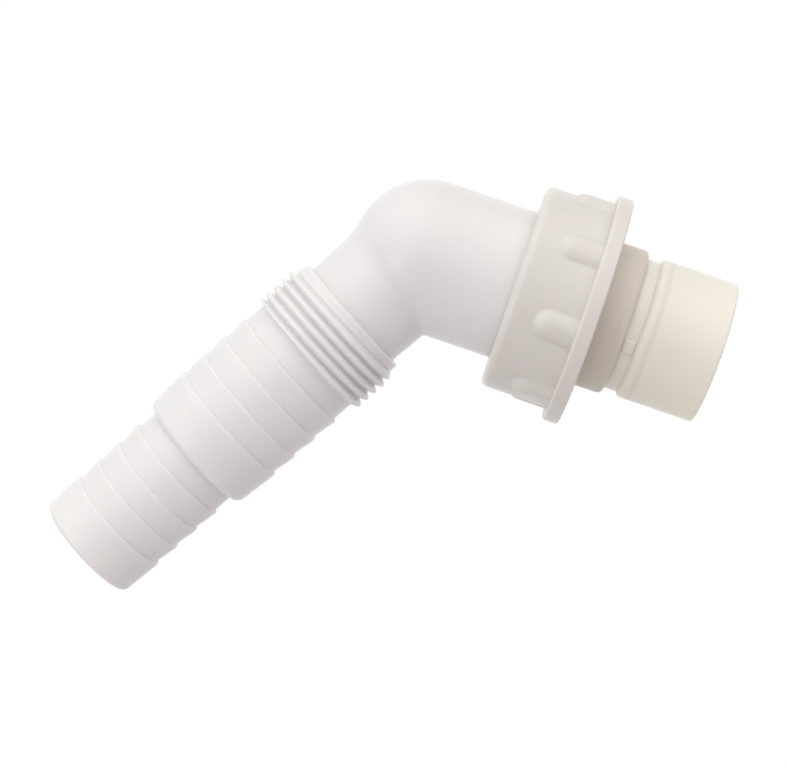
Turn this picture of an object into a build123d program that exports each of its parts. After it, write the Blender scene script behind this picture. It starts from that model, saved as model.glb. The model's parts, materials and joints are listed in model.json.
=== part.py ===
from build123d import *
import os
from math import radians, tan

# Angled hose tail with a captive union nut and a plug-in non-return valve, in millimetres.
# Stations along either pipe are measured from the point where the two pipe axes cross.
# In the finished frame +X runs out of the union nut, +Z is up, the hose tail points down
# towards -X, and the origin is the centre of the washer face that seals on the spigot.

# Driving dimensions: the bend, the two standard threads and the outlet pipe
BEND = 60.0
TAIL_THREAD_D = 26.1
TAIL_THREAD_PITCH = 1.814
UNION_THREAD_D = 33.249
UNION_THREAD_PITCH = 2.309
PIPE_R = 13.5
WALL = 2.1

# Whitworth thread form, as shares of the pitch
THREAD_DEPTH = 0.6403
THREAD_CREST = 1 / 6
FLANK_ANGLE = 27.5
THREAD_SUNK = 0.15

# Elbow: the outlet pipe ends in a ball, and the narrower tail tube runs into the ball
BALL_X = 1.0
PIPE_BORE_R = PIPE_R - WALL
TAIL_BORE_R = 8.2
TAIL_ROOT_R = 11.2
TAIL_TUBE_R = 10.7

# Tail stations: threaded collar, large barbs, small barbs, end
COLLAR_START = 16.3
COLLAR_EDGE = 0.1
THREAD_START = 17.55
THREAD_FULL = 19.4
THREAD_CREST_AT = 17.94
THREAD_TURNS = 7
THREAD_END = 27.0
COLLAR_R = TAIL_THREAD_D / 2 - THREAD_DEPTH * TAIL_THREAD_PITCH
LARGE_ROOT_R = 11.7
LARGE_CREST_R = 12.25
LARGE_FIRST = 31.0
LARGE_PITCH = 4.8
LARGE_END = 54.0
SMALL_ROOT_R = 10.0
SMALL_CREST_R = 10.5
SMALL_FIRST = 57.8
SMALL_PITCH = 4.65
TAIL_END = 79.6
TAIL_END_R = 10.25
BARB_COUNT = 4
BARB_RISE = 0.2
BARB_EDGE_R = 0.15
SHOULDER_T = 0.4
SHOULDER_ROUND = 1.4
END_ROUND = 0.9

# Stations on the outlet side, from the nut's back face to the open end of the sleeve
NUT_BACK = 17.13
NUT_WEB = 2.3
SLIP_RING_T = 1.0
STOP_T = 1.8
VALVE_FLANGE_T = 1.6
WASHER_T = 1.5
SIDE_GAP = 0.1
WEB_FACE = NUT_BACK + NUT_WEB
STOP_BACK = WEB_FACE + SLIP_RING_T + 2 * SIDE_GAP
PIPE_END = STOP_BACK + STOP_T
FLANGE_FACE = PIPE_END + VALVE_FLANGE_T
SEAT = FLANGE_FACE + WASHER_T
RIM_BACK = 29.5
NUT_MOUTH = 32.25
COLLAR_END = 37.9
SLEEVE_STEP = 40.35
SLEEVE_END = 54.4

# Union nut
NUT_R = 18.55
NUT_ROUND = 1.3
NUT_HOLE_R = PIPE_R + 0.35
HOLE_CHAMFER = 0.4
RIM_R = 20.85
RIM_ROUND = 0.3
RIM_FOOT_ROUND = 0.2
RELIEF_R = 16.9
RELIEF_T = 1.5
RELIEF_ROUND = 0.3
UNION_MAJOR_R = UNION_THREAD_D / 2
UNION_MINOR_R = UNION_MAJOR_R - THREAD_DEPTH * UNION_THREAD_PITCH
UNION_THREAD_START = WEB_FACE + RELIEF_T
UNION_THREAD_END = NUT_MOUTH - 0.8
RIDGE_TIP_END = NUT_MOUTH - 1.3
RIDGE_END = NUT_MOUTH - 0.5
MOUTH_CHAMFER = 0.7
GRIP_COUNT = 8
GRIP_FIRST = 17.0
GRIP_R = 3.5
GRIP_HEIGHT = 1.1
GRIP_BALL_X = 24.6

# Pieces that stack up inside the nut all pass through its threaded mouth
STACK_R = UNION_MINOR_R - 0.2
STACK_ROUND = 0.2

# Valve cartridge: a skirt plugs into the pipe, a collar holds the sleeve, a tube is the seat
SKIRT_R = PIPE_BORE_R - 0.12
SKIRT_START = 15.4
SKIRT_LEAD = 1.0
SKIRT_LEAD_DROP = 0.6
RING_GROOVE = 17.4
RING_GROOVE_W = 2.1
RING_GROOVE_R = 9.6
RING_CORD_R = 0.88
VALVE_COLLAR_R = 13.25
VALVE_COLLAR_ROUND = 0.9
VALVE_BORE_R = 7.8
SEAT_TUBE_R = 9.3
SEAT_LIP = 34.0
SEAT_LIP_R = 8.5
SEAT_LIP_T = 0.5
SEAT_ROUND = 0.2
POCKET_START = 26.0
NECK_START = POCKET_START + 0.3
NECK_R = 11.95
NECK_BORE_R = 11.0
STEP_T = 0.6
STEP_CHAMFER = 0.3
STEP_ROUND = 0.1
INNER_STEP_T = 0.8
SLEEVE_R = 12.75
SLEEVE_BORE_R = 11.75
MOUTH_ROUND = 0.35
MOUTH_BORE_ROUND = 0.2
LUG_SIZE = (0.3, 2.4, 2.1)
LUG_X = 39.15
LUG_ANGLE = 111.0

# Flap, hung from a pin above the bore
SEAL_R = 8.9
SEAL_T = 0.8
SEAL_ROUND = 0.2
FLAP_R = 8.2
FLAP_T = 1.2
FLAP_ROUND = 0.3
FLAP_GAP = 0.05
FLAP_FACE = SEAT_LIP + FLAP_GAP + SEAL_T
STUD_R = 1.2
STUD_HEAD_R = 2.2
STUD_HEAD_T = 0.9
ARM_FOOT_Z = 5.5
ARM_FOOT_SUNK = 0.2
ARM_BEYOND_PIN = 0.6
HINGE_X = 36.3
HINGE_Z = 9.25
PIN_R = 0.7
PIN_CLEARANCE = 0.05
KNUCKLE_R = 1.25
KNUCKLE_W = 4.0
ARM_W = KNUCKLE_W - 0.8
EAR_GAP = 0.3
EAR_W = 1.2
EAR_START = SEAT_LIP - 4
EAR_END = HINGE_X + KNUCKLE_R
EAR_FOOT_R = SEAT_TUBE_R - 0.9
EAR_INNER_R = SEAT_LIP_R + 0.5
EAR_REACH_R = 10.8
PIN_LENGTH = KNUCKLE_W + 2 * (EAR_GAP + EAR_W)

# A cutting tool runs past the face that it opens by this much
PAST = 1.0
OUT_OF_CENTRE = (Align.MIN, Align.CENTER, Align.MIN)


def axial(*corners):
    """Ring or disc turned about the local Z axis, from (station, radius[, rounding]) corners."""
    points = [(corner[1], corner[0]) for corner in corners]
    roundings = [corner[2] if len(corner) > 2 else 0 for corner in corners]
    outline = FilletPolyline(*points, radius=roundings, close=True)
    return revolve(Plane.XZ * make_face(outline), Axis.Z)


def rod(radius, start, end):
    """Round bar on the local Z axis between two stations."""
    return Pos(0, 0, start) * Cylinder(radius, end - start, align=(Align.CENTER, Align.CENTER, Align.MIN))


def hinge_bar(radius, length):
    """Round bar on the flap's hinge axis, centred between the ears."""
    return Pos(HINGE_Z, 0, HINGE_X) * Rot(90, 0, 0) * Cylinder(radius, length)


def thread_ridge(pitch, root_r, crest_r, first, last):
    """Helical ridge on the local Z axis, right-handed, with its crest on +X at station first."""
    toward_crest = 1 if crest_r > root_r else -1
    sunk_r = root_r - toward_crest * THREAD_SUNK
    half_crest = THREAD_CREST * pitch / 2
    half_base = half_crest + abs(crest_r - sunk_r) * tan(radians(FLANK_ANGLE))
    section = make_face(
        Polyline(
            (sunk_r, first - half_base),
            (crest_r, first - half_crest),
            (crest_r, first + half_crest),
            (sunk_r, first + half_base),
            close=True,
        )
    )
    path = Helix(pitch, last - first, root_r, center=(0, 0, first))
    return sweep(Plane.XZ * section, path=path, is_frenet=True)


def barbs(first, pitch, root_r, crest_r):
    """Corners of a row of saw-tooth barbs whose steps face the elbow."""
    corners = []
    for index in range(BARB_COUNT):
        station = first + index * pitch
        corners.append((station, root_r))
        corners.append((station + BARB_RISE, crest_r, BARB_EDGE_R))
    return corners


def hose_tail_elbow():
    """Body moulding: stepped barbed tail, threaded collar, elbow, pipe and stop shoulder."""
    tail = axial(
        (0, 0),
        (0, TAIL_ROOT_R),
        (COLLAR_START, TAIL_TUBE_R),
        (COLLAR_START + COLLAR_EDGE, COLLAR_R),
        (THREAD_END, COLLAR_R),
        (THREAD_END, LARGE_ROOT_R),
        *barbs(LARGE_FIRST, LARGE_PITCH, LARGE_ROOT_R, LARGE_CREST_R),
        (LARGE_END - SHOULDER_T, LARGE_ROOT_R, SHOULDER_ROUND),
        (LARGE_END, SMALL_ROOT_R),
        *barbs(SMALL_FIRST, SMALL_PITCH, SMALL_ROOT_R, SMALL_CREST_R),
        (TAIL_END, TAIL_END_R, END_ROUND),
        (TAIL_END, 0),
    )
    crest_r = TAIL_THREAD_D / 2
    ridge_start = THREAD_CREST_AT - TAIL_THREAD_PITCH
    ridge = thread_ridge(
        TAIL_THREAD_PITCH,
        COLLAR_R,
        crest_r,
        ridge_start,
        ridge_start + THREAD_TURNS * TAIL_THREAD_PITCH,
    )
    thread_zone = axial(
        (THREAD_START, 0),
        (THREAD_START, COLLAR_R),
        (THREAD_FULL, crest_r),
        (THREAD_END, crest_r),
        (THREAD_END, 0),
    )
    tail = TAIL * (tail + (ridge & thread_zone))
    pipe = axial(
        (BALL_X, 0),
        (BALL_X, PIPE_R),
        (STOP_BACK, PIPE_R),
        (STOP_BACK, STACK_R, STACK_ROUND),
        (PIPE_END, STACK_R, STACK_ROUND),
        (PIPE_END, 0),
    )
    ball = Pos(0, 0, BALL_X) * Sphere(PIPE_R)
    cavity = rod(PIPE_BORE_R, BALL_X, PIPE_END + PAST) + Pos(0, 0, BALL_X) * Sphere(PIPE_BORE_R)
    solid = tail + OUTLET * (pipe + ball)
    solid -= OUTLET * cavity
    return solid - TAIL * rod(TAIL_BORE_R, 0, TAIL_END + PAST)


def union_nut():
    """Captive nut with a rim, rounded grips and an internal parallel thread."""
    shell = axial(
        (NUT_BACK, 0),
        (NUT_BACK, NUT_R, NUT_ROUND),
        (RIM_BACK, NUT_R, RIM_FOOT_ROUND),
        (RIM_BACK, RIM_R, RIM_ROUND),
        (NUT_MOUTH, RIM_R, RIM_ROUND),
        (NUT_MOUTH, 0),
    )
    grip_axis_r = NUT_R + GRIP_HEIGHT - GRIP_R
    grip_end = (RIM_BACK + NUT_MOUTH) / 2
    grip = rod(GRIP_R, GRIP_BALL_X, grip_end) + Pos(0, 0, GRIP_BALL_X) * Sphere(GRIP_R)
    for index in range(GRIP_COUNT):
        angle = 180 + GRIP_FIRST + index * 360 / GRIP_COUNT
        shell += Rot(0, 0, angle) * Pos(grip_axis_r, 0, 0) * grip
    hollow = axial(
        (NUT_BACK - PAST, 0),
        (NUT_BACK - PAST, NUT_HOLE_R + HOLE_CHAMFER + PAST),
        (NUT_BACK + HOLE_CHAMFER, NUT_HOLE_R),
        (WEB_FACE, NUT_HOLE_R),
        (WEB_FACE, RELIEF_R, RELIEF_ROUND),
        (UNION_THREAD_START, RELIEF_R),
        (UNION_THREAD_START, UNION_MAJOR_R),
        (NUT_MOUTH - MOUTH_CHAMFER, UNION_MAJOR_R),
        (NUT_MOUTH + PAST, UNION_MAJOR_R + MOUTH_CHAMFER + PAST),
        (NUT_MOUTH + PAST, 0),
    )
    ridge = thread_ridge(
        UNION_THREAD_PITCH,
        UNION_MAJOR_R,
        UNION_MINOR_R,
        UNION_THREAD_START,
        UNION_THREAD_END,
    )
    thread_zone = axial(
        (UNION_THREAD_START, 0),
        (UNION_THREAD_START, RELIEF_R),
        (RIDGE_END, RELIEF_R),
        (RIDGE_END, UNION_MINOR_R + RIDGE_END - RIDGE_TIP_END),
        (RIDGE_TIP_END, UNION_MINOR_R),
        (RIDGE_TIP_END, 0),
    )
    return OUTLET * (shell - hollow + (ridge & thread_zone))


def slip_ring():
    """Thin ring between the nut's web and the pipe's stop, so that the nut turns freely."""
    start = WEB_FACE + SIDE_GAP
    end = start + SLIP_RING_T
    return OUTLET * axial((start, NUT_HOLE_R), (start, STACK_R), (end, STACK_R), (end, NUT_HOLE_R))


def valve_collar():
    """Valve body: sealing skirt, clamped flange, visible collar, seat tube and hinge ears."""
    body = axial(
        (SKIRT_START, VALVE_BORE_R),
        (SKIRT_START, SKIRT_R - SKIRT_LEAD_DROP),
        (SKIRT_START + SKIRT_LEAD, SKIRT_R),
        (RING_GROOVE, SKIRT_R),
        (RING_GROOVE, RING_GROOVE_R),
        (RING_GROOVE + RING_GROOVE_W, RING_GROOVE_R),
        (RING_GROOVE + RING_GROOVE_W, SKIRT_R),
        (PIPE_END, SKIRT_R),
        (PIPE_END, STACK_R),
        (FLANGE_FACE, STACK_R),
        (FLANGE_FACE, VALVE_COLLAR_R),
        (COLLAR_END, VALVE_COLLAR_R, VALVE_COLLAR_ROUND),
        (COLLAR_END, NECK_R),
        (POCKET_START, NECK_R),
        (POCKET_START, SEAT_TUBE_R),
        (SEAT_LIP - SEAT_LIP_T, SEAT_TUBE_R),
        (SEAT_LIP - SEAT_LIP_T, SEAT_LIP_R),
        (SEAT_LIP, SEAT_LIP_R, SEAT_ROUND),
        (SEAT_LIP, VALVE_BORE_R, SEAT_ROUND),
    )
    blank = Box(EAR_REACH_R - EAR_FOOT_R, EAR_W, EAR_END - EAR_START, align=OUT_OF_CENTRE)
    centre_y = (PIN_LENGTH - EAR_W) / 2
    ears = Part()
    for side in (-1, 1):
        ears += Pos(EAR_FOOT_R, side * centre_y, EAR_START) * blank
    ears &= rod(EAR_REACH_R, EAR_START, EAR_END)
    ears -= rod(EAR_INNER_R, SEAT_LIP - SEAT_LIP_T, EAR_END + PAST)
    return OUTLET * Rot(0, 0, 180) * (body + ears - hinge_bar(PIN_R, PIN_LENGTH + PAST))


def cartridge_o_ring():
    """O-ring in the skirt's groove, which seals and holds the valve in the pipe."""
    ring_r = (RING_GROOVE_R + PIPE_BORE_R) / 2
    return OUTLET * Pos(0, 0, RING_GROOVE + RING_GROOVE_W / 2) * Torus(ring_r, RING_CORD_R)


def spigot_washer():
    """Flat washer on the valve's flange, which seals on the end of the threaded spigot."""
    inner_r = VALVE_COLLAR_R
    return OUTLET * axial((FLANGE_FACE, inner_r), (FLANGE_FACE, STACK_R), (SEAT, STACK_R), (SEAT, inner_r))


def valve_sleeve():
    """Thin sleeve with a narrow neck that plugs into the collar, and small locking lugs."""
    sleeve = axial(
        (NECK_START, NECK_BORE_R),
        (NECK_START, NECK_R),
        (SLEEVE_STEP, NECK_R, STEP_ROUND),
        (SLEEVE_STEP, SLEEVE_R - STEP_CHAMFER, STEP_ROUND),
        (SLEEVE_STEP + STEP_T, SLEEVE_R, STEP_ROUND),
        (SLEEVE_END, SLEEVE_R, MOUTH_ROUND),
        (SLEEVE_END, SLEEVE_BORE_R, MOUTH_BORE_ROUND),
        (SLEEVE_STEP + INNER_STEP_T, SLEEVE_BORE_R),
        (SLEEVE_STEP, NECK_BORE_R),
    )
    lug = Box(*LUG_SIZE)
    for angle in (LUG_ANGLE, LUG_ANGLE + 180):
        sleeve += Rot(0, 0, 180 + angle) * Pos(NECK_R, 0, LUG_X) * lug
    return OUTLET * sleeve


def flap_disc():
    """Stiff flap with an arm and a knuckle that turns on the hinge pin."""
    disc = axial(
        (FLAP_FACE, STUD_R),
        (FLAP_FACE, FLAP_R),
        (FLAP_FACE + FLAP_T, FLAP_R, FLAP_ROUND),
        (FLAP_FACE + FLAP_T, STUD_R),
    )
    arm_start = FLAP_FACE + ARM_FOOT_SUNK
    arm_end = HINGE_X + ARM_BEYOND_PIN
    blank = Box(HINGE_Z - ARM_FOOT_Z, ARM_W, arm_end - arm_start, align=OUT_OF_CENTRE)
    arm = Pos(ARM_FOOT_Z, 0, arm_start) * blank
    knuckle = hinge_bar(KNUCKLE_R, KNUCKLE_W)
    hole = hinge_bar(PIN_R + PIN_CLEARANCE, PIN_LENGTH)
    return OUTLET * Rot(0, 0, 180) * (disc + arm + knuckle - hole)


def flap_seal():
    """Soft disc that closes on the seat, held by a stud with a head through the flap."""
    head_start = FLAP_FACE + FLAP_T
    return OUTLET * axial(
        (FLAP_FACE - SEAL_T, 0),
        (FLAP_FACE - SEAL_T, SEAL_R, SEAL_ROUND),
        (FLAP_FACE, SEAL_R),
        (FLAP_FACE, STUD_R),
        (head_start, STUD_R),
        (head_start, STUD_HEAD_R),
        (head_start + STUD_HEAD_T, STUD_R),
        (head_start + STUD_HEAD_T, 0),
    )


def flap_pin():
    """Hinge pin, held in the two ears."""
    return OUTLET * Rot(0, 0, 180) * hinge_bar(PIN_R, PIN_LENGTH)


# The two pipe directions: a station on the local Z axis becomes a place along the pipe
OUTLET = Pos(-SEAT, 0, 0) * Rot(0, 90, 0)
TAIL = Pos(-SEAT, 0, 0) * Rot(0, 270 - BEND, 0)

PIECES = (
    hose_tail_elbow,
    union_nut,
    slip_ring,
    valve_collar,
    cartridge_o_ring,
    spigot_washer,
    valve_sleeve,
    flap_disc,
    flap_seal,
    flap_pin,
)

os.makedirs("parts", exist_ok=True)
for make_piece in PIECES:
    piece = make_piece()
    export_step(piece, f"parts/{make_piece.__name__}.step")
    box = piece.bounding_box()
    print(make_piece.__name__, len(piece.solids()), round(piece.volume), box.min, box.max)
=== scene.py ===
"""Angled hose tail with a captive union nut and a plug-in non-return valve, for Blender 4.5.

The meshes are made in millimetres, in stations from the point where the two pipe axes cross,
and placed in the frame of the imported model, in metres.
"""

import bmesh
import bpy
import json
import math
import numpy as np
from mathutils import Matrix, Vector


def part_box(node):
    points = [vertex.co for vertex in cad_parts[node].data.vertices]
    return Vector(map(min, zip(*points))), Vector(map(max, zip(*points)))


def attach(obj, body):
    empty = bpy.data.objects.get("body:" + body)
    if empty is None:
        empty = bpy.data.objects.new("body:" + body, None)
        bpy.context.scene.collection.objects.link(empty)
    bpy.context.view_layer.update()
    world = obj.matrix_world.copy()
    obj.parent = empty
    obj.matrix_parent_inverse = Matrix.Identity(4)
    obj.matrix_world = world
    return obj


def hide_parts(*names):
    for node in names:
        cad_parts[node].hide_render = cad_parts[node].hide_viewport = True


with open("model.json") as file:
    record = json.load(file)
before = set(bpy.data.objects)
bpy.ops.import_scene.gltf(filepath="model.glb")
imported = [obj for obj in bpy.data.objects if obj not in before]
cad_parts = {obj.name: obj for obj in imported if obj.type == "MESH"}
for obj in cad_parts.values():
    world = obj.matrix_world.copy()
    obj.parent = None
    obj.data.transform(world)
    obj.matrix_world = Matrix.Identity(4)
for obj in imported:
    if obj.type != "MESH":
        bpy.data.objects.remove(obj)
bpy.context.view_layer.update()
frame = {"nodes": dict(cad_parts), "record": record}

MM = 0.001

# The two pipe axes, from the record: the outlet runs along +X, the tail along TAIL
MOUNTS = {mount["name"]: mount for mount in frame["record"]["mounts"]}
BORE = MOUNTS["hose_tail_bore"]
TAIL = np.array(BORE["axis"])
CROSS_X = (BORE["pos_m"][0] - TAIL[0] * BORE["pos_m"][2] / TAIL[2]) / MM
TAIL_TOP = np.array((TAIL[2], 0.0, -TAIL[0]))
OUT = np.array((1.0, 0.0, 0.0))
UP = np.array((0.0, 0.0, 1.0))
SIDE = np.array((0.0, 1.0, 0.0))


def station(metres):
    """A place on the X axis, in millimetres from the point where the pipe axes cross."""
    return metres / MM - CROSS_X


# Elbow and tail
BALL_X = 1.0
PIPE_R = 13.5
PIPE_BORE_R = 11.4
TAIL_BORE_R = BORE["dims"]["r_mm"]
TAIL_ROOT_R = 11.2
TAIL_TUBE_R = 10.7
COLLAR_START = 16.3
COLLAR_R = 11.89
THREAD_START = 17.55
THREAD_FULL = 19.4
THREAD_CREST_AT = 17.94
THREAD_CREST_R = 13.05
THREAD_FADES = 26.75
THREAD_END = 27.0
THREAD_PITCH = 1.814
LARGE_ROOT_R = 11.7
LARGE_CREST_R = 12.25
LARGE_FIRST = 31.0
LARGE_PITCH = 4.8
LARGE_END = 54.0
SMALL_ROOT_R = 10.0
SMALL_CREST_R = 10.5
SMALL_FIRST = 57.8
SMALL_PITCH = 4.65
TAIL_END = 79.6
TAIL_END_R = 10.25
BARB_COUNT = 4
STACK_R = 14.946
ELBOW_X = 13.5
CREASE_BELOW = 0.4
CREASE_ABOVE = 2.5
CREASE_BORE = 0.3
PIPE_END = station(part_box("hose_tail_elbow")[1].x)
STOP_BACK = PIPE_END - 1.8

# Union nut
NUT_BACK = station(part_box("union_nut")[0].x)
NUT_MOUTH = station(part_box("union_nut")[1].x)
RIM_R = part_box("union_nut")[1].y / MM
RIM_BACK = NUT_MOUTH - 2.75
NUT_R = 18.55
NUT_HOLE_R = 13.85
WEB_FACE = NUT_BACK + 2.3
RELIEF_R = 16.9
UNION_START = WEB_FACE + 1.5
UNION_PITCH = 2.309
UNION_MAJOR_R = 16.62
UNION_MINOR_R = 15.146
GRIP_COUNT = 8
GRIP_FIRST = 17.0
GRIP_R = 3.5
GRIP_AXIS_R = NUT_R + 1.1 - GRIP_R
GRIP_BALL_X = 24.6
GRIP_BACK = 21.2
GRIP_SWEEP = 9.5
MOUTH_CHAMFER = 0.7

# Valve collar and sleeve
SKIRT_START = station(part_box("valve_collar")[0].x)
SKIRT_R = 11.28
GROOVE_START = 17.4
GROOVE_END = 19.5
GROOVE_R = 9.6
FLANGE_FACE = PIPE_END + 1.6
VALVE_COLLAR_R = 13.25
COLLAR_END = 37.9
VALVE_BORE_R = 7.8
SEAT_TUBE_R = 9.3
SEAT_LIP = 34.0
SEAT_LIP_BACK = SEAT_LIP - 0.5
SEAT_LIP_R = 8.5
POCKET_START = 26.0
NECK_START = station(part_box("valve_sleeve")[0].x)
NECK_R = 11.95
NECK_BORE_R = 11.0
SLEEVE_STEP = 40.35
SLEEVE_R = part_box("valve_sleeve")[1].y / MM
SLEEVE_BORE_R = 11.75
SLEEVE_END = station(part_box("valve_sleeve")[1].x)
LUG_SIZE = (0.3, 2.4, 2.1)
LUG_X = 39.1
LUG_ANGLE = 111.0
LUG_EDGE = 0.08
PIN_X = 36.3
EAR_W = 1.2
EAR_Y = 2.9
EAR_EDGE = 0.12

# Camera, lamp and floor, in metres, degrees and watts; the lens is in millimetres
LENS = 89.09
CAMERA_PLACE = (-0.0110, -0.3463, -0.0161)
CAMERA_TURN = (88.72, -18.845, 2.37)
LAMP_TOWARD = (-0.615, -0.65, -0.447)
LAMP_FAR = 0.6
LAMP_SIZE = 0.09
LAMP_WATTS = 0.24
FLOOR_R = 0.42
FLOOR_Z = -0.24

# Fineness of the meshes
SEGMENTS = 192
EDGE_R = 0.06
ARC_STEP = math.radians(24)
HOLD = 0.05
ELBOW_ROWS = 36
BORE_ROWS = 16
TUBE_ROWS = 8


def outline(corners, closed=True):
    """Points of an outline from (station, radius[, rounding]) corners.

    A rounding is an arc of short steps with a point held just outside it on each side, so
    that the flats beside it keep their own shading.
    """
    places = np.array([corner[:2] for corner in corners], float)
    rounds = [corner[2] if len(corner) > 2 else EDGE_R for corner in corners]
    points = []
    for index, corner in enumerate(corners):
        here = places[index]
        if not closed and index in (0, len(corners) - 1):
            points.append(here)
            continue
        back = places[index - 1] - here
        ahead = places[(index + 1) % len(corners)] - here
        back_length, ahead_length = np.linalg.norm(back), np.linalg.norm(ahead)
        back, ahead = back / back_length, ahead / ahead_length
        turn = math.pi - math.acos(max(-1.0, min(1.0, back @ ahead)))
        if turn < 0.01:
            points.append(here)
            continue
        half = math.tan(turn / 2)
        radius = rounds[index]
        back_share = radius / (radius + rounds[index - 1])
        ahead_share = radius / (radius + rounds[(index + 1) % len(corners)])
        reach = 0.9 * min(back_share * back_length, ahead_share * ahead_length)
        reach = min(radius * half, reach)
        radius = reach / half
        middle = (back + ahead) / np.linalg.norm(back + ahead)
        centre = here + middle * radius / math.cos(turn / 2)
        arm = here + back * reach - centre
        toward = here + ahead * reach - centre
        way = 1 if arm[0] * toward[1] - arm[1] * toward[0] > 0 else -1
        points.append(here + back * min(reach + HOLD, (reach + back_share * back_length) / 2))
        steps = max(2, math.ceil(turn / ARC_STEP))
        for step in range(steps + 1):
            angle = way * turn * step / steps
            cos, sin = math.cos(angle), math.sin(angle)
            points.append(centre + (arm[0] * cos - arm[1] * sin, arm[0] * sin + arm[1] * cos))
        points.append(here + ahead * min(reach + HOLD, (reach + ahead_share * ahead_length) / 2))
    return np.array(points)


def around(axis, top, stations, radii, angle):
    """Points in space for stations and radii on one side of an axis, at an angle from top."""
    out = math.cos(angle) * top + math.sin(angle) * SIDE
    return np.outer(stations, axis) + np.outer(radii, out)


def skin(name, columns):
    """A closed mesh through columns of points; the last column lies on the first."""
    columns = np.asarray(columns, float)
    count, rows = columns.shape[:2]
    points = columns.reshape(-1, 3) * MM
    points[:, 0] += CROSS_X * MM
    index = np.arange(count * rows).reshape(count, rows)
    near, far = index[:-1], index[1:]
    quads = np.stack([near, far, np.roll(far, -1, axis=1), np.roll(near, -1, axis=1)], axis=-1)
    mesh = bpy.data.meshes.new(name)
    mesh.from_pydata(points.tolist(), [], quads.reshape(-1, 4).tolist())
    tidy(mesh)
    piece = bpy.data.objects.new(name, mesh)
    bpy.context.scene.collection.objects.link(piece)
    return piece


def tidy(mesh):
    """Joins points that share a place, turns the faces outwards and shades them smooth."""
    work = bmesh.new()
    work.from_mesh(mesh)
    bmesh.ops.remove_doubles(work, verts=work.verts, dist=2e-7)
    bmesh.ops.recalc_face_normals(work, faces=work.faces)
    for face in work.faces:
        face.smooth = True
    work.to_mesh(mesh)
    work.free()


def helix_rows(angle, pitch, crest_at, start, end, tooth, hand=1):
    """Stations of a thread's rows at one angle, which follow the helix and stop at its ends."""
    turn = hand * angle / math.tau
    first = math.floor((start - crest_at) / pitch) - 2
    last = math.ceil((end - crest_at) / pitch) + 2
    rows = [crest_at + pitch * (lap + turn) + step for lap in range(first, last) for step in tooth]
    return np.clip(rows, start, end)


def tooth_outline(pitch, root_r, crest_r, crest_share=0.26, round_share=0.16):
    """Steps from the crest and their radii over one pitch of a rounded Whitworth thread."""
    crest = crest_share * pitch / 2
    foot = crest + abs(crest_r - root_r) * math.tan(math.radians(27.5))
    corners = (
        (-pitch / 2, root_r),
        (-foot, root_r, round_share * pitch),
        (-crest, crest_r, round_share * pitch),
        (crest, crest_r, round_share * pitch),
        (foot, root_r, round_share * pitch),
        (pitch / 2, root_r),
    )
    points = outline(corners, closed=False)
    return points[:, 0], points[:, 1]


def thread_radius(stations, angle, pitch, crest_at, tooth, hand=1):
    """Radius of a thread at stations at one angle."""
    steps, radii = tooth
    phase = (stations - crest_at) / pitch - hand * angle / math.tau
    phase = (phase - np.round(phase)) * pitch
    return np.interp(phase, steps, radii)


def nearest_on_pipe(points):
    """Nearest point to each on the pipe's axis, which starts at the centre of the ball."""
    foot = np.zeros_like(points)
    foot[:, 0] = np.maximum(points[:, 0], BALL_X)
    return foot


def crease_station(radius_at, ball_r, angle):
    """Station where the tail's surface at an angle enters the ball or the pipe."""
    low, high = 0.0, 14.0
    for _ in range(40):
        middle = (low + high) / 2
        point = around(TAIL, TAIL_TOP, [middle], [radius_at(middle)], angle)
        inside = np.linalg.norm(point - nearest_on_pipe(point)) < ball_r
        low, high = (middle, high) if inside else (low, middle)
    return middle


def elbow_rows(angle, radius_at, ball_r, soft, count):
    """One column over the elbow, from the pipe to the tail, with a soft or crisp crease."""
    at = crease_station(radius_at, ball_r, angle)
    crease = around(TAIL, TAIL_TOP, [at], [radius_at(at)], angle)[0]
    ring = around(OUT, UP, [ELBOW_X], [ball_r], angle)[0]
    share = np.linspace(0, 1, 121)[:, None]
    path = ring * (1 - share) + crease * share
    foot = nearest_on_pipe(path)
    arm = path - foot
    path = foot + arm * ball_r / np.linalg.norm(arm, axis=1)[:, None]
    length = np.concatenate(([0], np.cumsum(np.linalg.norm(np.diff(path, axis=0), axis=1))))
    stop = length[-1] - soft
    where = np.concatenate((np.linspace(0, stop - 0.12, count), [stop - 0.04, stop]))
    rows = np.column_stack([np.interp(where, length, path[:, axis]) for axis in range(3)])
    foot = nearest_on_pipe(rows)
    arm = rows - foot
    rows = foot + arm * ball_r / np.linalg.norm(arm, axis=1)[:, None]
    leave = rows[-1] - rows[-2]
    leave /= np.linalg.norm(leave)
    land_at = at + soft
    land = around(TAIL, TAIL_TOP, [land_at], [radius_at(land_at)], angle)[0]
    back = crease - land
    back /= np.linalg.norm(back)
    steps = np.linspace(0, 1, 11)[1:, None]
    first, second = rows[-1] + leave * soft * 0.62, land + back * soft * 0.62
    bend = (
        rows[-1] * (1 - steps) ** 3
        + 3 * first * steps * (1 - steps) ** 2
        + 3 * second * steps**2 * (1 - steps)
        + land * steps**3
    )
    return np.vstack((rows, bend)), land_at


def tail_tube_r(at):
    """Radius of the tail's plain tube, which swells a little towards the elbow."""
    return TAIL_ROOT_R + (TAIL_TUBE_R - TAIL_ROOT_R) * at / COLLAR_START


def tail_bore_r(_):
    """Radius of the tail's water way, the same all along."""
    return TAIL_BORE_R


def barbs(first, pitch, root_r, crest_r):
    """Corners of a row of saw-tooth barbs whose steps face the elbow."""
    corners = []
    for index in range(BARB_COUNT):
        at = first + index * pitch
        corners += [(at, root_r), (at + 0.15, crest_r, 0.45)]
    return corners


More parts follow.
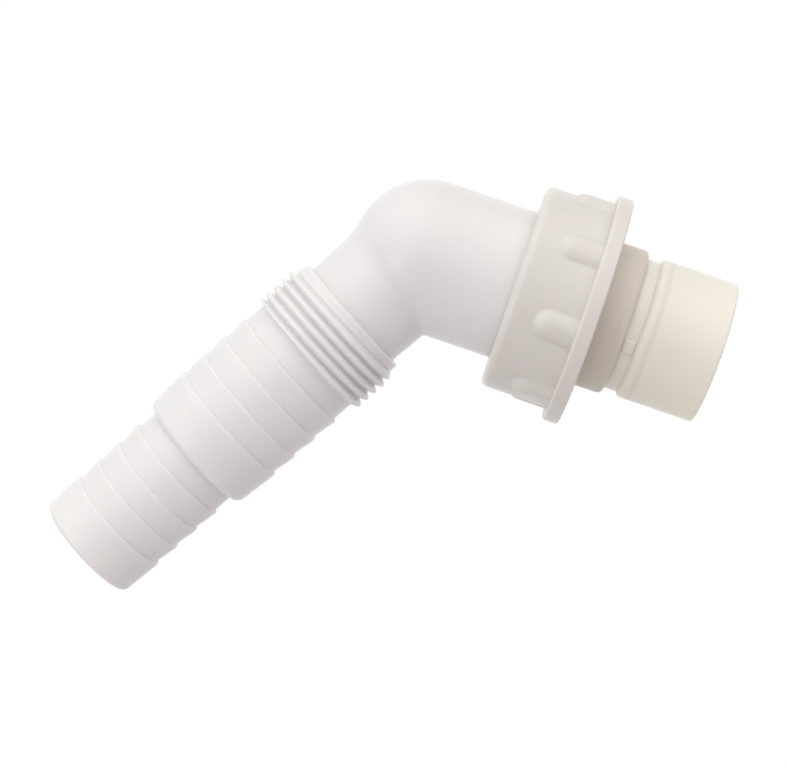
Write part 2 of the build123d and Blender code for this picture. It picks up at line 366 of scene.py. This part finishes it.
def hose_tail_body():
    """The body moulding: elbow, thread and both sets of barbs, with its water way."""
    tooth = tooth_outline(THREAD_PITCH, COLLAR_R, THREAD_CREST_R)
    collar = outline(
        (
            (COLLAR_START - 3, tail_tube_r(COLLAR_START - 3)),
            (COLLAR_START, TAIL_TUBE_R, 0.2),
            (COLLAR_START + 0.12, COLLAR_R, 0.3),
            (THREAD_START - 0.3, COLLAR_R),
        ),
        closed=False,
    )[1:]
    barbed = outline(
        (
            (THREAD_END + 0.02, COLLAR_R),
            (THREAD_END + 0.14, COLLAR_R, 0.1),
            (THREAD_END + 0.3, LARGE_ROOT_R, 0.1),
            *barbs(LARGE_FIRST, LARGE_PITCH, LARGE_ROOT_R, LARGE_CREST_R),
            (LARGE_END - 0.2, LARGE_ROOT_R, 1.4),
            (LARGE_END, SMALL_ROOT_R, 0.15),
            *barbs(SMALL_FIRST, SMALL_PITCH, SMALL_ROOT_R, SMALL_CREST_R),
            (TAIL_END, TAIL_END_R, 0.9),
            (TAIL_END, TAIL_BORE_R, 0.3),
            (TAIL_END - 1, TAIL_BORE_R),
        ),
        closed=False,
    )
    stop = outline(
        (
            (PIPE_END - 1.2, PIPE_BORE_R),
            (PIPE_END, PIPE_BORE_R, 0.15),
            (PIPE_END, STACK_R, 0.2),
            (STOP_BACK, STACK_R, 0.2),
            (STOP_BACK, PIPE_R, 0.1),
            (NUT_BACK, PIPE_R),
        ),
        closed=False,
    )
    columns = []
    for angle in np.linspace(0, math.tau, SEGMENTS + 1):
        outside = 0.5 + 0.5 * math.cos(angle)
        soft = CREASE_BELOW + (CREASE_ABOVE - CREASE_BELOW) * outside**2
        over, land = elbow_rows(angle, tail_tube_r, PIPE_R, soft, ELBOW_ROWS)
        inner, inner_land = elbow_rows(angle, tail_bore_r, PIPE_BORE_R, CREASE_BORE, BORE_ROWS)
        tube = np.linspace(land, collar[0, 0], TUBE_ROWS)[1:-1]
        turns = helix_rows(
            angle, THREAD_PITCH, THREAD_CREST_AT, THREAD_START, THREAD_END, tooth[0][:-1]
        )
        ridge = thread_radius(turns, angle, THREAD_PITCH, THREAD_CREST_AT, tooth)
        fade_in = np.interp(turns, (THREAD_START, THREAD_FULL), (COLLAR_R, THREAD_CREST_R))
        fade_out = np.interp(turns, (THREAD_FADES, THREAD_END), (THREAD_CREST_R, COLLAR_R))
        ridge = np.minimum(ridge, np.minimum(fade_in, fade_out))
        water_way = np.linspace(barbed[-1, 0], inner_land, TUBE_ROWS)[1:-1]
        bore = np.full(len(water_way), TAIL_BORE_R)
        stations = np.concatenate((tube, collar[:, 0], turns, barbed[:, 0], water_way))
        radii = np.concatenate((tail_tube_r(tube), collar[:, 1], ridge, barbed[:, 1], bore))
        columns.append(
            np.vstack(
                (
                    over,
                    around(TAIL, TAIL_TOP, stations, radii, angle),
                    inner[::-1],
                    around(OUT, UP, stop[:, 0], stop[:, 1], angle),
                )
            )
        )
    return skin("hose_tail_body", columns)


def lathed(name, corners):
    """A closed ring turned about the outlet's axis."""
    points = outline(corners)
    angles = np.linspace(0, math.tau, SEGMENTS + 1)
    return skin(name, [around(OUT, UP, points[:, 0], points[:, 1], angle) for angle in angles])


def soft_max(one, other, width):
    """The larger of two heights, with a small fillet where they meet."""
    overlap = np.maximum(width - np.abs(one - other), 0) / width
    return np.maximum(one, other) + overlap**2 * width / 4


def grip_radius(stations, away):
    """Radius of the nut's side at an angle away from the middle of the nearest grip."""
    drop = np.maximum(GRIP_BALL_X - stations, 0)
    reach = GRIP_R**2 - drop**2 - (GRIP_AXIS_R * math.sin(away)) ** 2
    top = GRIP_AXIS_R * math.cos(away) + np.sqrt(np.maximum(reach, 0))
    return soft_max(np.full(len(stations), NUT_R), np.where(reach > 0, top, 0), 0.12)


def union_nut_body():
    """The captive nut, with its grips, its rim and the thread inside."""
    tooth = tooth_outline(UNION_PITCH, UNION_MAJOR_R, UNION_MINOR_R)
    back = outline(
        (
            (WEB_FACE - 1, NUT_HOLE_R),
            (NUT_BACK + 0.4, NUT_HOLE_R),
            (NUT_BACK, NUT_HOLE_R + 0.4),
            (NUT_BACK, NUT_R, 1.3),
            (NUT_BACK + 3, NUT_R),
        ),
        closed=False,
    )[:-1]
    side = np.concatenate(
        (
            np.linspace(back[-1, 0] + 1, GRIP_BACK, 4),
            np.arange(GRIP_BACK + 0.2, GRIP_BALL_X + 0.1, 0.16),
            (GRIP_BALL_X + 1.4, GRIP_BALL_X + 2.9, RIM_BACK - 0.3),
        )
    )
    thread_end = NUT_MOUTH - MOUTH_CHAMFER
    inside = outline(
        (
            (UNION_START, UNION_MAJOR_R),
            (UNION_START, RELIEF_R),
            (WEB_FACE, RELIEF_R, 0.3),
            (WEB_FACE, NUT_HOLE_R),
            (WEB_FACE - 1, NUT_HOLE_R),
        ),
        closed=False,
    )[1:-1]
    pitch_angle = 360 / GRIP_COUNT
    over_grip = np.linspace(-GRIP_SWEEP, GRIP_SWEEP, 33)
    between = np.linspace(GRIP_SWEEP, pitch_angle - GRIP_SWEEP, 9)[1:-1]
    away = np.radians(np.concatenate((over_grip, between)))
    columns = []
    for grip in range(GRIP_COUNT + 1):
        for turn in away if grip < GRIP_COUNT else away[:1]:
            angle = turn - math.radians(GRIP_FIRST) + grip * math.radians(pitch_angle)
            near = (turn + math.pi / GRIP_COUNT) % math.radians(pitch_angle) - math.pi / GRIP_COUNT
            heights = grip_radius(side, near)
            rim = outline(
                (
                    (side[-1], heights[-1]),
                    (RIM_BACK, heights[-1], 0.2),
                    (RIM_BACK, RIM_R, 0.3),
                    (NUT_MOUTH, RIM_R, 0.3),
                    (NUT_MOUTH, UNION_MAJOR_R + MOUTH_CHAMFER, 0.1),
                    (thread_end, UNION_MAJOR_R, 0.1),
                    (thread_end - 0.3, UNION_MAJOR_R),
                ),
                closed=False,
            )[1:]
            turns = helix_rows(
                angle, UNION_PITCH, UNION_START, UNION_START, thread_end - 0.3, tooth[0][:-1], -1
            )[::-1]
            ridge = thread_radius(turns, angle, UNION_PITCH, UNION_START, tooth, -1)
            lead = np.interp(
                turns, (thread_end - 1.1, thread_end - 0.3), (UNION_MINOR_R, UNION_MAJOR_R)
            )
            start = np.interp(
                turns, (UNION_START, UNION_START + 0.6), (UNION_MAJOR_R, UNION_MINOR_R)
            )
            ridge = np.maximum(ridge, np.maximum(lead, start))
            stations = np.concatenate((back[:, 0], side, rim[:, 0], turns, inside[:, 0]))
            radii = np.concatenate((back[:, 1], heights, rim[:, 1], ridge, inside[:, 1]))
            columns.append(around(OUT, UP, stations, radii, angle))
    return skin("union_nut_body", columns)


def block(low, high):
    """A small block with rounded edges, from (station, sideways, radial) corners."""
    work = bmesh.new()
    bmesh.ops.create_cube(work, size=1)
    low, high = Vector(low), Vector(high)
    for vertex in work.verts:
        for axis in range(3):
            vertex.co[axis] = low[axis] + (vertex.co[axis] + 0.5) * (high[axis] - low[axis])
    edges = work.edges[:]
    bmesh.ops.bevel(work, geom=edges, offset=EAR_EDGE, segments=3, profile=0.5, affect="EDGES")
    mesh = bpy.data.meshes.new("block")
    work.to_mesh(mesh)
    work.free()
    place = Matrix.Translation((CROSS_X * MM, 0, 0)) @ Matrix.Diagonal((MM, MM, MM, 1))
    mesh.transform(place)
    for face in mesh.polygons:
        face.use_smooth = True
    return mesh


def join(piece, meshes):
    """Adds meshes to a piece, as parts of the same moulding."""
    work = bmesh.new()
    work.from_mesh(piece.data)
    for mesh in meshes:
        work.from_mesh(mesh)
    work.to_mesh(piece.data)
    work.free()


def valve_collar_body():
    """The valve body, with the two ears that hold the hinge pin."""
    collar = lathed(
        "valve_collar_body",
        (
            (SKIRT_START, VALVE_BORE_R, 0.3),
            (SKIRT_START, SKIRT_R - 0.6, 0.2),
            (SKIRT_START + 1, SKIRT_R, 0.3),
            (GROOVE_START, SKIRT_R),
            (GROOVE_START, GROOVE_R),
            (GROOVE_END, GROOVE_R),
            (GROOVE_END, SKIRT_R),
            (PIPE_END, SKIRT_R),
            (PIPE_END, STACK_R, 0.15),
            (FLANGE_FACE, STACK_R, 0.15),
            (FLANGE_FACE, VALVE_COLLAR_R, 0.1),
            (COLLAR_END, VALVE_COLLAR_R, 0.9),
            (COLLAR_END, NECK_R, 0.15),
            (POCKET_START, NECK_R, 0.2),
            (POCKET_START, SEAT_TUBE_R, 0.2),
            (SEAT_LIP_BACK, SEAT_TUBE_R, 0.12),
            (SEAT_LIP_BACK, SEAT_LIP_R, 0.1),
            (SEAT_LIP, SEAT_LIP_R, 0.2),
            (SEAT_LIP, VALVE_BORE_R, 0.2),
        ),
    )
    ears = []
    for side in (-1, 1):
        edges = sorted((side * (EAR_Y - EAR_W / 2), side * (EAR_Y + EAR_W / 2)))
        ears.append(block((SEAT_LIP - 4, edges[0], 8.45), (SEAT_LIP_BACK, edges[1], 10.25)))
        ears.append(block((SEAT_LIP - 0.8, edges[0], 8.62), (PIN_X + 1.25, edges[1], 10.2)))
    join(collar, ears)
    return collar


def lug_height(stations, angle):
    """Height of the locking lugs above the neck, at stations at one angle."""
    deep, wide, long = LUG_SIZE
    turn = (angle + math.radians(LUG_ANGLE) + math.pi / 2) % math.pi - math.pi / 2
    ends = long / 2 - np.abs(stations - LUG_X)
    sides = wide / 2 - abs(turn) * NECK_R
    return deep / 2 * np.clip(np.minimum(ends, sides) / LUG_EDGE, 0, 1)


def valve_sleeve_body():
    """The thin translucent sleeve, with its neck and locking lugs."""
    points = outline(
        (
            (SLEEVE_STEP + 0.15, SLEEVE_R - 0.35, 0.3),
            (SLEEVE_STEP + 0.6, SLEEVE_R, 0.5),
            (SLEEVE_END, SLEEVE_R, 0.35),
            (SLEEVE_END, SLEEVE_BORE_R, 0.2),
            (SLEEVE_STEP + 0.8, SLEEVE_BORE_R, 0.4),
            (SLEEVE_STEP, NECK_BORE_R, 0.3),
            (NECK_START, NECK_BORE_R, 0.2),
            (NECK_START, NECK_R, 0.2),
            (SLEEVE_STEP, NECK_R, 0.25),
        )
    )
    _, wide, long = LUG_SIZE
    edges = np.array((0, LUG_EDGE / 2, LUG_EDGE))
    ends = np.concatenate((LUG_X - long / 2 + edges, LUG_X + long / 2 - edges[::-1]))
    after = int(np.flatnonzero((points[:, 1] == NECK_R) & (points[:, 0] < LUG_X))[-1]) + 1
    points = np.insert(points, after, np.column_stack((ends, np.full(len(ends), NECK_R))), axis=0)
    sides = np.concatenate((wide / 2 - edges, edges - wide / 2)) / NECK_R
    lugs = np.concatenate([turn - math.radians(LUG_ANGLE) + sides for turn in (0, math.pi)])
    angles = np.linspace(0, math.tau, SEGMENTS + 1)[:-1]
    angles = np.unique(np.concatenate((angles, lugs % math.tau)))
    columns = []
    for angle in (*angles, angles[0]):
        height = np.where(points[:, 1] == NECK_R, lug_height(points[:, 0], angle), 0)
        columns.append(around(OUT, UP, points[:, 0], points[:, 1] + height, angle))
    return skin("valve_sleeve_body", columns)


def node(tree, kind, place, **values):
    """A shader node with values set on its own sockets."""
    made = tree.nodes.new(kind)
    made.location = place
    for name, value in values.items():
        made.inputs[name.replace("_", " ")].default_value = value
    return made


def blend(tree, share, first, second):
    """A mix of two colours, each a socket or a constant, by a share from 0 to 1."""
    mix = tree.nodes.new("ShaderNodeMix")
    mix.data_type = "RGBA"
    tree.links.new(share, mix.inputs[0])
    for socket, colour in ((mix.inputs[6], first), (mix.inputs[7], second)):
        if isinstance(colour, tuple):
            socket.default_value = (*colour, 1)
        else:
            tree.links.new(colour, socket)
    return mix.outputs[2]


def moulded(name, light, dark, roughness, grain, painted_shade_band=None, **surface):
    """Moulded plastic or rubber: slow changes of tint, fine changes of gloss and a faint grain.

    A painted shade band is a darker ring of painted shade at a station along the X axis: (station,
    half width, colour).
    """
    material = bpy.data.materials.new(name)
    material.use_nodes = True
    tree = material.node_tree
    shader = tree.nodes["Principled BSDF"]
    for socket, value in surface.items():
        shader.inputs[socket.replace("_", " ")].default_value = value
    place = node(tree, "ShaderNodeTexCoord", (-1100, 0))
    slow = node(tree, "ShaderNodeTexNoise", (-850, 250), Scale=42.0, Detail=3.0, Roughness=0.55)
    fine = node(tree, "ShaderNodeTexNoise", (-850, -50), Scale=900.0, Detail=4.0, Roughness=0.6)
    micro = node(tree, "ShaderNodeTexNoise", (-850, -350), Scale=2600.0, Detail=3.0, Roughness=0.5)
    for texture in (slow, fine, micro):
        tree.links.new(place.outputs["Object"], texture.inputs["Vector"])
    tint = node(tree, "ShaderNodeValToRGB", (-560, 250))
    tint.color_ramp.elements[0].position = 0.34
    tint.color_ramp.elements[0].color = (*dark, 1)
    tint.color_ramp.elements[1].position = 0.66
    tint.color_ramp.elements[1].color = (*light, 1)
    tree.links.new(slow.outputs["Fac"], tint.inputs["Fac"])
    tree.links.new(tint.outputs["Color"], shader.inputs["Base Color"])
    if painted_shade_band:
        tree.links.new(painted_shade_ring(tree, place, tint, *painted_shade_band), shader.inputs["Base Color"])
    gloss = node(
        tree, "ShaderNodeMapRange", (-560, -50), To_Min=roughness[0], To_Max=roughness[1]
    )
    gloss.inputs["From Min"].default_value = 0.3
    gloss.inputs["From Max"].default_value = 0.7
    tree.links.new(fine.outputs["Fac"], gloss.inputs["Value"])
    tree.links.new(gloss.outputs["Result"], shader.inputs["Roughness"])
    ripple = node(tree, "ShaderNodeBump", (-300, -350), Strength=grain, Distance=0.00003)
    tree.links.new(micro.outputs["Fac"], ripple.inputs["Height"])
    tree.links.new(ripple.outputs["Normal"], shader.inputs["Normal"])
    return material


def painted_shade_ring(tree, place, tint, at, half_width, colour):
    """A soft ring of painted shade round the X axis, where the shade by a step inside the sleeve
    shows through its wall.
    """
    axes = node(tree, "ShaderNodeSeparateXYZ", (-850, 600))
    tree.links.new(place.outputs["Object"], axes.inputs["Vector"])
    off = tree.nodes.new("ShaderNodeMath")
    off.operation = "SUBTRACT"
    off.inputs[1].default_value = (at + CROSS_X) * MM
    tree.links.new(axes.outputs["X"], off.inputs[0])
    far = tree.nodes.new("ShaderNodeMath")
    far.operation = "ABSOLUTE"
    tree.links.new(off.outputs["Value"], far.inputs[0])
    share = node(tree, "ShaderNodeMapRange", (-400, 600), To_Min=1.0, To_Max=0.0)
    share.interpolation_type = "SMOOTHSTEP"
    share.inputs["From Min"].default_value = 0
    share.inputs["From Max"].default_value = half_width * MM
    tree.links.new(far.outputs["Value"], share.inputs["Value"])
    return blend(tree, share.outputs["Result"], tint.outputs["Color"], colour)


def drawn_steel(name):
    """Bright wire with fine marks along its length."""
    material = bpy.data.materials.new(name)
    material.use_nodes = True
    tree = material.node_tree
    shader = tree.nodes["Principled BSDF"]
    shader.inputs["Metallic"].default_value = 1.0
    place = node(tree, "ShaderNodeTexCoord", (-1100, 0))
    stretch = node(tree, "ShaderNodeMapping", (-900, 0))
    stretch.inputs["Scale"].default_value = (9000.0, 300.0, 9000.0)
    marks = node(tree, "ShaderNodeTexNoise", (-700, 0), Scale=1.0, Detail=4.0)
    tree.links.new(place.outputs["Object"], stretch.inputs["Vector"])
    tree.links.new(stretch.outputs["Vector"], marks.inputs["Vector"])
    tint = node(tree, "ShaderNodeValToRGB", (-450, 150))
    tint.color_ramp.elements[0].color = (0.48, 0.48, 0.49, 1)
    tint.color_ramp.elements[1].color = (0.66, 0.66, 0.67, 1)
    tree.links.new(marks.outputs["Fac"], tint.inputs["Fac"])
    tree.links.new(tint.outputs["Color"], shader.inputs["Base Color"])
    gloss = node(tree, "ShaderNodeMapRange", (-450, -150), To_Min=0.22, To_Max=0.42)
    tree.links.new(marks.outputs["Fac"], gloss.inputs["Value"])
    tree.links.new(gloss.outputs["Result"], shader.inputs["Roughness"])
    return material


def dress(piece, material, body=None, replaced=None):
    """Gives a piece its material and slot, and ties a new piece to its body."""
    piece.data.materials.clear()
    piece.data.materials.append(material)
    if replaced:
        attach(piece, body)
        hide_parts(replaced)


white = moulded(
    "moulded_white",
    (0.845, 0.825, 0.825),
    (0.825, 0.805, 0.808),
    (0.27, 0.34),
    0.08,
    Subsurface_Weight=0.5,
    Subsurface_Radius=(1.0, 0.85, 0.8),
    Subsurface_Scale=0.0016,
    IOR=1.49,
)
nut_white = moulded(
    "moulded_white_nut",
    (0.772, 0.737, 0.708),
    (0.752, 0.717, 0.69),
    (0.27, 0.35),
    0.08,
    Subsurface_Weight=0.5,
    Subsurface_Radius=(1.0, 0.85, 0.8),
    Subsurface_Scale=0.0016,
    IOR=1.49,
)
# The collar's tint is the white moulding made darker and browner: painted shade for the shadow under
# the nut's rim
collar_painted_shade_white = moulded(
    "moulded_white_collar_painted_shade",
    (0.75, 0.69, 0.62),
    (0.73, 0.67, 0.60),
    (0.38, 0.46),
    0.08,
    Subsurface_Weight=0.2,
    Subsurface_Radius=(1.0, 0.85, 0.75),
    Subsurface_Scale=0.001,
    IOR=1.49,
)
natural = moulded(
    "translucent_natural",
    (0.90, 0.842, 0.762),
    (0.89, 0.832, 0.747),
    (0.32, 0.40),
    0.06,
    # Painted shade: a darker ring just past the sleeve's step, where the shade inside the step shows
    # through the thin wall
    painted_shade_band=(SLEEVE_STEP + 1.9, 0.8, (0.81, 0.77, 0.715)),
    Subsurface_Weight=1.0,
    Subsurface_Radius=(1.0, 0.9, 0.75),
    Subsurface_Scale=0.0018,
    IOR=1.49,
)
slippery = moulded("natural_polyethylene", (0.86, 0.85, 0.8), (0.83, 0.82, 0.77), (0.45, 0.55), 0.08)
flap_white = moulded("moulded_white_flap", (0.82, 0.81, 0.78), (0.79, 0.78, 0.75), (0.4, 0.5), 0.08)
rubber = moulded("black_rubber", (0.030, 0.030, 0.033), (0.020, 0.020, 0.022), (0.55, 0.72), 0.35)
steel = drawn_steel("drawn_steel")

nodes = frame["nodes"]
dress(hose_tail_body(), white, "fitting", "hose_tail_elbow")
dress(union_nut_body(), nut_white, "nut", "union_nut")
dress(valve_collar_body(), collar_painted_shade_white, "fitting", "valve_collar")
dress(valve_sleeve_body(), natural, "fitting", "valve_sleeve")
dress(nodes["slip_ring"], slippery)
dress(nodes["flap_disc"], flap_white)
dress(nodes["flap_seal"], rubber)
dress(nodes["cartridge_o_ring"], rubber)
dress(nodes["spigot_washer"], rubber)
dress(nodes["flap_pin"], steel)

# Camera: level with the pipe, on the -Y side, turned so that the outlet points down to the right
scene = bpy.context.scene
lens = bpy.data.cameras.new("camera")
lens.sensor_width = 36
lens.lens = LENS
camera = bpy.data.objects.new("camera", lens)
camera.location = CAMERA_PLACE
camera.rotation_euler = [math.radians(turn) for turn in CAMERA_TURN]
scene.collection.objects.link(camera)
scene.camera = camera
bpy.context.view_layer.update()
RIGHT, ABOVE, BEHIND = (camera.matrix_world.to_3x3().col[axis].normalized() for axis in range(3))

# What the camera sees behind the fitting, and the light on it: (from, edge, colour)
BACKDROP = (1.02, 1.02, 1.02)
BACKDROP_EDGE = (0.25, 0.9)
SURROUND = (0.66, 0.66, 0.66)
SOFT_LIGHT = (
    (ABOVE + BEHIND, 0.3, (1.22, 1.27, 1.19)),
    (ABOVE, 0.3, (0.27, 0.27, 0.24)),
    (-RIGHT, 0.0, (0.71, 0.70, 0.72)),
    (RIGHT, 0.0, (0.47, 0.41, 0.42)),
    (BEHIND, 0.0, (0.055, 0.022, 0.06)),
)


def small_lamp():
    """A small lamp in front, below and to the left, for the soft highlight on the elbow."""
    light = bpy.data.lights.new("small_lamp", "AREA")
    light.shape = "RECTANGLE"
    light.size = LAMP_SIZE
    light.size_y = LAMP_SIZE
    light.energy = LAMP_WATTS
    made = bpy.data.objects.new("small_lamp", light)
    toward = Vector(LAMP_TOWARD).normalized()
    made.location = Vector((CROSS_X * MM, 0, 0)) + toward * LAMP_FAR
    made.rotation_euler = toward.to_track_quat("Z", "Y").to_euler()
    scene.collection.objects.link(made)


def studio():
    """A white backdrop, plain pale surroundings and soft light that differs with direction."""
    world = bpy.data.worlds.new("studio")
    world.use_nodes = True
    tree = world.node_tree
    background = tree.nodes["Background"]
    place = node(tree, "ShaderNodeTexCoord", (-1400, 0))

    def facing(direction, row):
        along = tree.nodes.new("ShaderNodeVectorMath")
        along.operation = "DOT_PRODUCT"
        along.location = (-1150, row)
        along.inputs[1].default_value = direction
        tree.links.new(place.outputs["Generated"], along.inputs[0])
        return along.outputs["Value"]

    total = None
    for index, (direction, edge, colour) in enumerate(SOFT_LIGHT):
        share = tree.nodes.new("ShaderNodeMapRange")
        share.location = (-900, -300 * index)
        share.inputs["From Min"].default_value = edge
        tree.links.new(facing(direction.normalized(), -300 * index), share.inputs["Value"])
        glow = tree.nodes.new("ShaderNodeVectorMath")
        glow.operation = "MULTIPLY_ADD"
        glow.location = (-650, -300 * index)
        glow.inputs[1].default_value = colour
        tree.links.new(share.outputs["Result"], glow.inputs[0])
        if total:
            tree.links.new(total, glow.inputs[2])
        total = glow.outputs["Vector"]
    screen = tree.nodes.new("ShaderNodeMapRange")
    screen.interpolation_type = "SMOOTHSTEP"
    for socket, value in zip(("From Min", "From Max"), BACKDROP_EDGE):
        screen.inputs[socket].default_value = value
    tree.links.new(facing(-BEHIND, 300), screen.inputs["Value"])
    ray = tree.nodes.new("ShaderNodeLightPath")
    surround = blend(tree, ray.outputs["Is Camera Ray"], total, SURROUND)
    shown = blend(tree, screen.outputs["Result"], surround, BACKDROP)
    tree.links.new(shown, background.inputs["Color"])
    scene.world = world


def studio_floor():
    """A round pale floor, well below the fitting."""
    mesh = bpy.data.meshes.new("studio_floor")
    work = bmesh.new()
    bmesh.ops.create_circle(work, cap_ends=True, radius=FLOOR_R, segments=96)
    work.to_mesh(mesh)
    work.free()
    made = bpy.data.objects.new("studio_floor", mesh)
    made.location = (CROSS_X * MM, 0, FLOOR_Z)
    scene.collection.objects.link(made)
    mesh.materials.append(
        moulded("floor_paper", (0.72, 0.71, 0.71), (0.70, 0.69, 0.69), (0.8, 0.9), 0.05)
    )


studio()
studio_floor()
small_lamp()
scene.view_settings.view_transform = "Standard"
